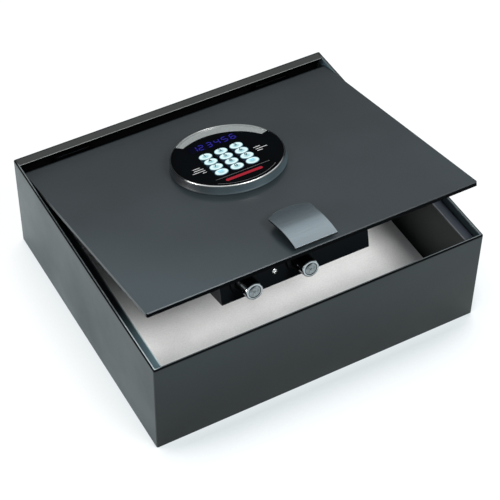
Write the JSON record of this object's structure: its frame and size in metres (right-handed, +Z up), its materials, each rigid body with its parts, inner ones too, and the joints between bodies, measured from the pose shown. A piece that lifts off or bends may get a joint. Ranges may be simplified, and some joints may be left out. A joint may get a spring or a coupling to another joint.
{
  "type": "top-opening electronic safe",
  "caption": "Shallow steel safe with a rear-hinged lid, a round keypad console, a pull handle and motor-driven lock bolts.",
  "frame": {"origin": "middle of the case's underside", "axes": "+X to the right along the case's length, -Y to the front where the lid opens, +Z up"},
  "size_m": [0.4, 0.35, 0.199],
  "materials": {
    "case_paint": "satin",
    "lid_paint": "satin",
    "inner_paint": "satin",
    "floor_felt": "matte",
    "zinc_steel": "satin",
    "spring_steel": "satin",
    "bright_chrome": "polished",
    "satin_metal": "satin",
    "silver_trim": "satin",
    "gloss_black": "gloss",
    "smoked_window": "gloss",
    "lit_key": "satin",
    "black_plastic": "satin",
    "circuit_board": "satin",
    "cell_jacket": "gloss"
  },
  "bodies": {
    "case": {"case_shell": "case_paint", "floor_mat": "floor_felt", "bolt_keeper": "inner_paint", "left_lid_ledge": "inner_paint", "left_hinge_bracket": "zinc_steel", "left_hinge_pin": "zinc_steel", "right_lid_ledge": "inner_paint", "right_hinge_bracket": "zinc_steel", "right_hinge_pin": "zinc_steel"},
    "lid": {"lid_panel": "lid_paint", "pull_handle": "satin_metal", "left_lid_knuckle": "zinc_steel", "right_lid_knuckle": "zinc_steel", "left_torsion_spring": "spring_steel", "right_torsion_spring": "spring_steel", "left_handle_screw": "zinc_steel", "right_handle_screw": "zinc_steel", "left_console_screw": "zinc_steel", "right_console_screw": "zinc_steel", "console_housing": "black_plastic", "console_ring": "bright_chrome", "console_crescent": "silver_trim", "console_fascia": "gloss_black", "display_window": "smoked_window", "keypad_board": "circuit_board", "console_lead": "black_plastic", "lock_housing": "inner_paint", "lock_chassis": "zinc_steel", "lock_motor": "zinc_steel", "housing_face_screw": "bright_chrome", "left_bolt_bush": "black_plastic", "right_bolt_bush": "black_plastic", "housing_screw_1": "zinc_steel", "housing_screw_2": "zinc_steel", "housing_screw_3": "zinc_steel", "housing_screw_4": "zinc_steel", "control_board": "circuit_board", "battery_holder": "black_plastic", "battery_cover": "black_plastic", "battery_cover_screw": "zinc_steel", "battery_1": "cell_jacket", "battery_2": "cell_jacket", "battery_3": "cell_jacket", "battery_4": "cell_jacket"},
    "bolts": {"left_lock_bolt": "bright_chrome", "right_lock_bolt": "bright_chrome", "bolt_carriage": "zinc_steel"},
    "pinion": {"motor_pinion": "zinc_steel"},
    "key_1": {"key_1": "lit_key"},
    "key_2": {"key_2": "lit_key"},
    "key_3": {"key_3": "lit_key"},
    "key_4": {"key_4": "lit_key"},
    "key_5": {"key_5": "lit_key"},
    "key_6": {"key_6": "lit_key"},
    "key_7": {"key_7": "lit_key"},
    "key_8": {"key_8": "lit_key"},
    "key_9": {"key_9": "lit_key"},
    "key_clear": {"key_clear": "lit_key"},
    "key_0": {"key_0": "lit_key"},
    "key_enter": {"key_enter": "lit_key"}
  },
  "joints": [
    {"name": "lid_hinge", "type": "hinge", "parent": "case", "child": "lid", "pos_m": [0, 0.16, 0.108], "axis": [-1, 0, 0], "range_deg": [-13, 35], "stiffness_Nm_per_rad": 14, "springref_deg": 49.22},
    {"name": "bolt_throw", "type": "slide", "parent": "lid", "child": "bolts", "axis": [0, -0.9744, 0.225], "range_m": [0, 0.015]},
    {"name": "pinion_turn", "type": "hinge", "parent": "lid", "child": "pinion", "pos_m": [0.03805, -0.03871, 0.12616], "axis": [0, 0.225, 0.9744], "range_deg": [0, 108]},
    {"name": "key_1_press", "type": "slide", "parent": "lid", "child": "key_1", "axis": [0, -0.225, -0.9744], "range_m": [0, 0.001], "stiffness_N_per_m": 300, "springref_m": -0.0005},
    {"name": "key_2_press", "type": "slide", "parent": "lid", "child": "key_2", "axis": [0, -0.225, -0.9744], "range_m": [0, 0.001], "stiffness_N_per_m": 300, "springref_m": -0.0005},
    {"name": "key_3_press", "type": "slide", "parent": "lid", "child": "key_3", "axis": [0, -0.225, -0.9744], "range_m": [0, 0.001], "stiffness_N_per_m": 300, "springref_m": -0.0005},
    {"name": "key_4_press", "type": "slide", "parent": "lid", "child": "key_4", "axis": [0, -0.225, -0.9744], "range_m": [0, 0.001], "stiffness_N_per_m": 300, "springref_m": -0.0005},
    {"name": "key_5_press", "type": "slide", "parent": "lid", "child": "key_5", "axis": [0, -0.225, -0.9744], "range_m": [0, 0.001], "stiffness_N_per_m": 300, "springref_m": -0.0005},
    {"name": "key_6_press", "type": "slide", "parent": "lid", "child": "key_6", "axis": [0, -0.225, -0.9744], "range_m": [0, 0.001], "stiffness_N_per_m": 300, "springref_m": -0.0005},
    {"name": "key_7_press", "type": "slide", "parent": "lid", "child": "key_7", "axis": [0, -0.225, -0.9744], "range_m": [0, 0.001], "stiffness_N_per_m": 300, "springref_m": -0.0005},
    {"name": "key_8_press", "type": "slide", "parent": "lid", "child": "key_8", "axis": [0, -0.225, -0.9744], "range_m": [0, 0.001], "stiffness_N_per_m": 300, "springref_m": -0.0005},
    {"name": "key_9_press", "type": "slide", "parent": "lid", "child": "key_9", "axis": [0, -0.225, -0.9744], "range_m": [0, 0.001], "stiffness_N_per_m": 300, "springref_m": -0.0005},
    {"name": "key_clear_press", "type": "slide", "parent": "lid", "child": "key_clear", "axis": [0, -0.225, -0.9744], "range_m": [0, 0.001], "stiffness_N_per_m": 300, "springref_m": -0.0005},
    {"name": "key_0_press", "type": "slide", "parent": "lid", "child": "key_0", "axis": [0, -0.225, -0.9744], "range_m": [0, 0.001], "stiffness_N_per_m": 300, "springref_m": -0.0005},
    {"name": "key_enter_press", "type": "slide", "parent": "lid", "child": "key_enter", "axis": [0, -0.225, -0.9744], "range_m": [0, 0.001], "stiffness_N_per_m": 300, "springref_m": -0.0005}
  ],
  "couplings": [
    {"joint": "pinion_turn", "follows": "bolt_throw", "rad_per_m": 125}
  ]
}
